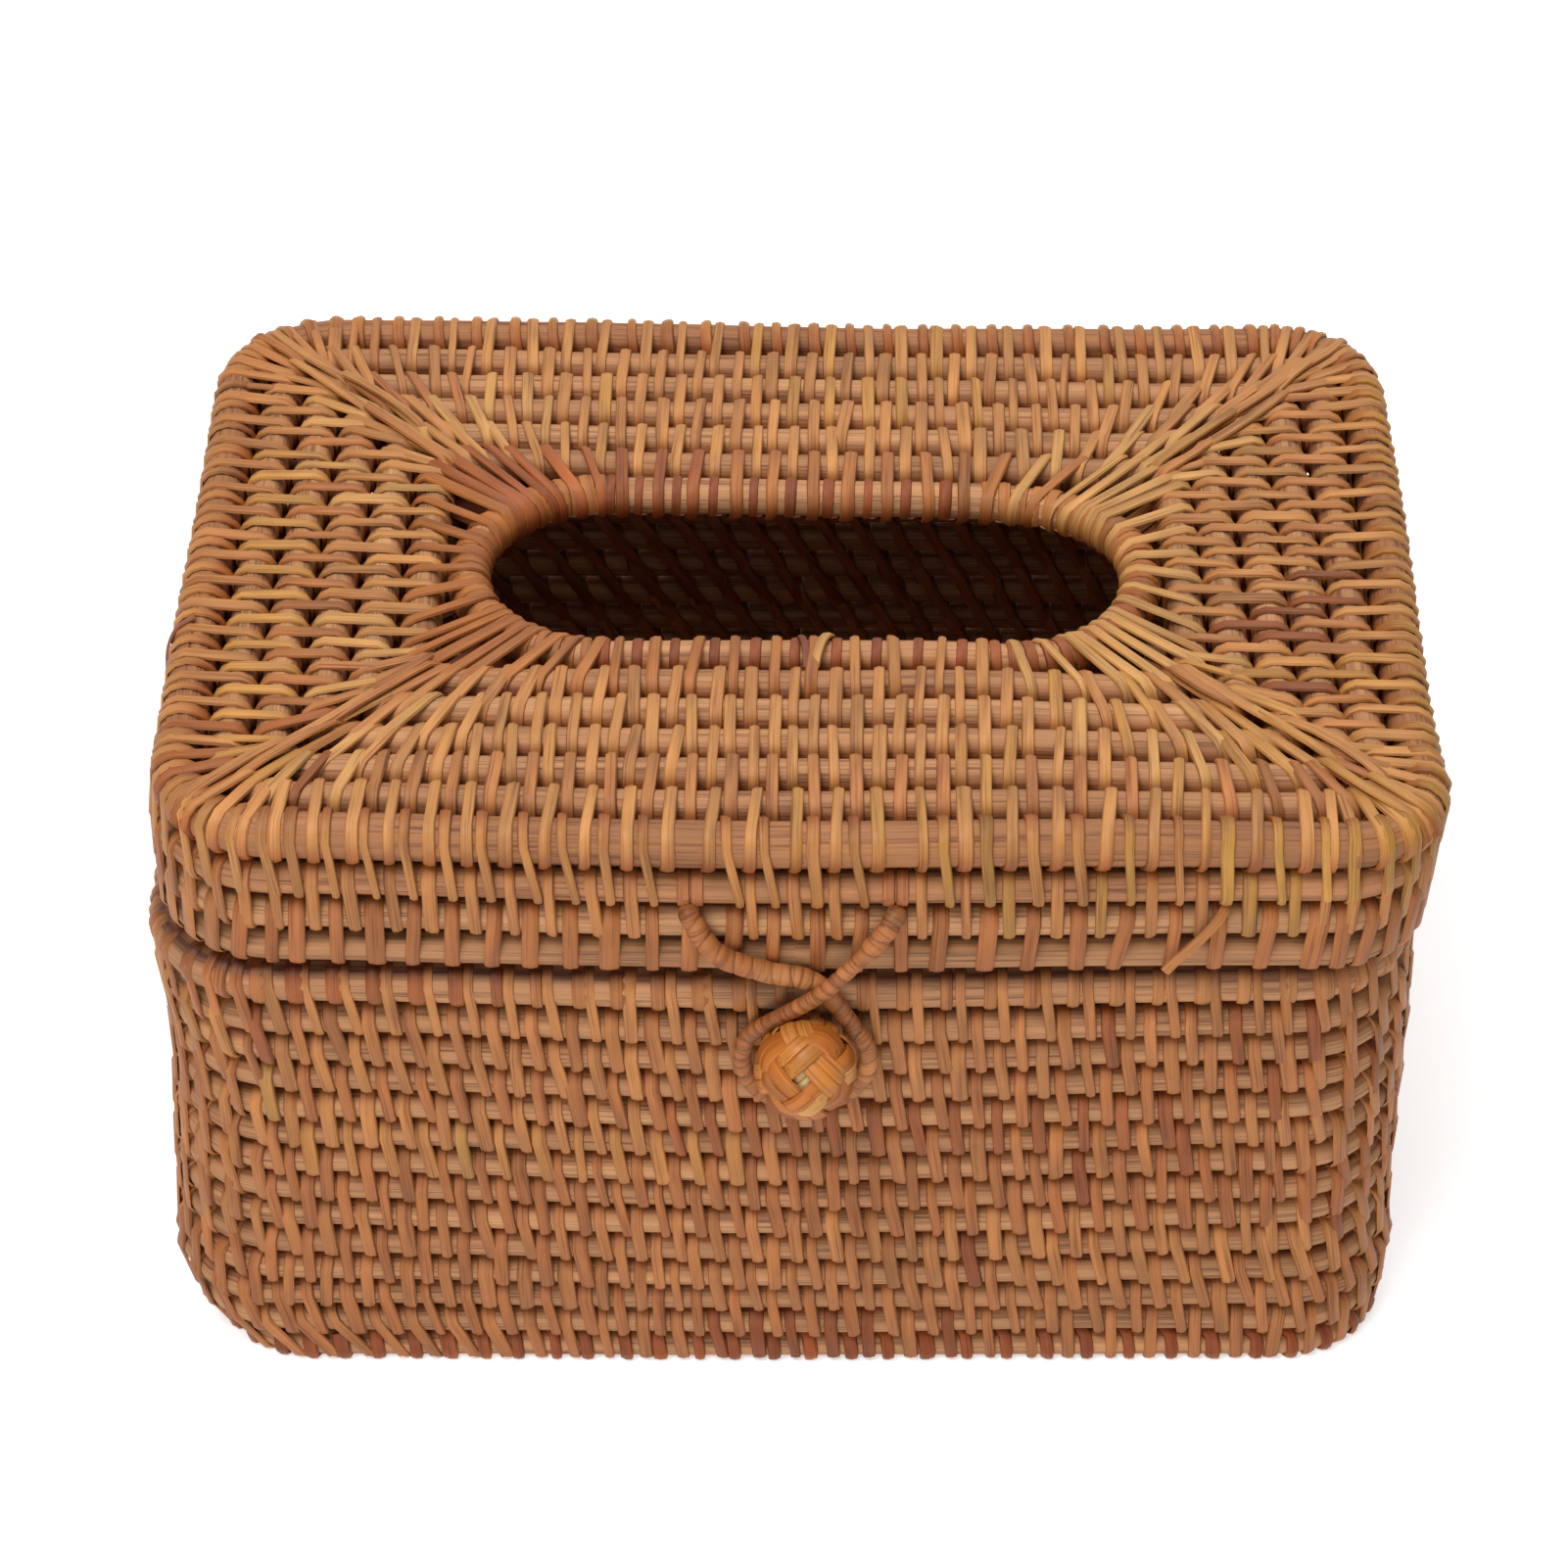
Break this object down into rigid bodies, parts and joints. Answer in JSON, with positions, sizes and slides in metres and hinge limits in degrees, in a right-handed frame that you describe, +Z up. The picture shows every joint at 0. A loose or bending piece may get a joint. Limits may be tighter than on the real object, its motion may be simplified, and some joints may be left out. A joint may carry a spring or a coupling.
{
  "type": "tissue box cover",
  "caption": "Rectangular woven cane box for a stack of tissues, with a flip-up lid that has a long round-ended slot, lashed hinge at the back, and a loop-and-knot clasp on the front.",
  "frame": {"origin": "on the table, under the middle of the box's footprint", "axes": "+X to the right of the front, which carries the clasp; +Y from the front to the back; +Z up"},
  "size_m": [0.2004, 0.159, 0.1178],
  "materials": {
    "cane_rod": "satin",
    "cane_strip": "satin",
    "whipped_cane": "satin",
    "knot_strip": "satin"
  },
  "bodies": {
    "base": {"base_rim_hoop": "cane_rod", "wall_hoop_01": "cane_rod", "wall_hoop_02": "cane_rod", "wall_hoop_03": "cane_rod", "wall_hoop_04": "cane_rod", "wall_hoop_05": "cane_rod", "wall_hoop_06": "cane_rod", "wall_hoop_07": "cane_rod", "wall_hoop_08": "cane_rod", "wall_hoop_09": "cane_rod", "wall_hoop_10": "cane_rod", "wall_hoop_11": "cane_rod", "wall_hoop_12": "cane_rod", "foot_hoop": "cane_rod", "floor_ring_1": "cane_rod", "floor_ring_2": "cane_rod", "floor_ring_3": "cane_rod", "floor_ring_4": "cane_rod", "floor_ring_5": "cane_rod", "floor_ring_6": "cane_rod", "floor_ring_7": "cane_rod", "floor_ring_8": "cane_rod", "floor_middle_rod": "cane_rod", "rim_binding": "cane_strip", "wall_binding_upper": "cane_strip", "wall_binding_middle": "cane_strip", "wall_binding_lower": "cane_strip", "floor_binding": "cane_strip", "button_knot": "knot_strip", "button_strap": "knot_strip"},
    "lid": {"lid_edge_hoop": "cane_rod", "skirt_hoop_1": "cane_rod", "skirt_hoop_2": "cane_rod", "skirt_hoop_3": "cane_rod", "top_ring_1": "cane_rod", "top_ring_2": "cane_rod", "top_ring_3": "cane_rod", "top_ring_4": "cane_rod", "top_ring_5": "cane_rod", "slot_rim_hoop": "cane_rod", "edge_binding": "cane_strip", "skirt_binding": "cane_strip", "top_binding_outer": "cane_strip", "top_binding_inner": "cane_strip", "slot_binding": "cane_strip", "hinge_lashings": "cane_strip"},
    "clasp": {"clasp_loop": "whipped_cane"}
  },
  "joints": [
    {"name": "lid_hinge", "type": "hinge", "parent": "base", "child": "lid", "pos_m": [0, 0.0672, 0.0845], "axis": [-1, 0, 0], "range_deg": [0, 105], "deforming": ["clasp_loop"]},
    {"name": "clasp_swing", "type": "hinge", "parent": "lid", "child": "clasp", "pos_m": [-0.00025, -0.0681, 0.10585], "axis": [-1, 0, 0], "range_deg": [0, 70]}
  ]
}
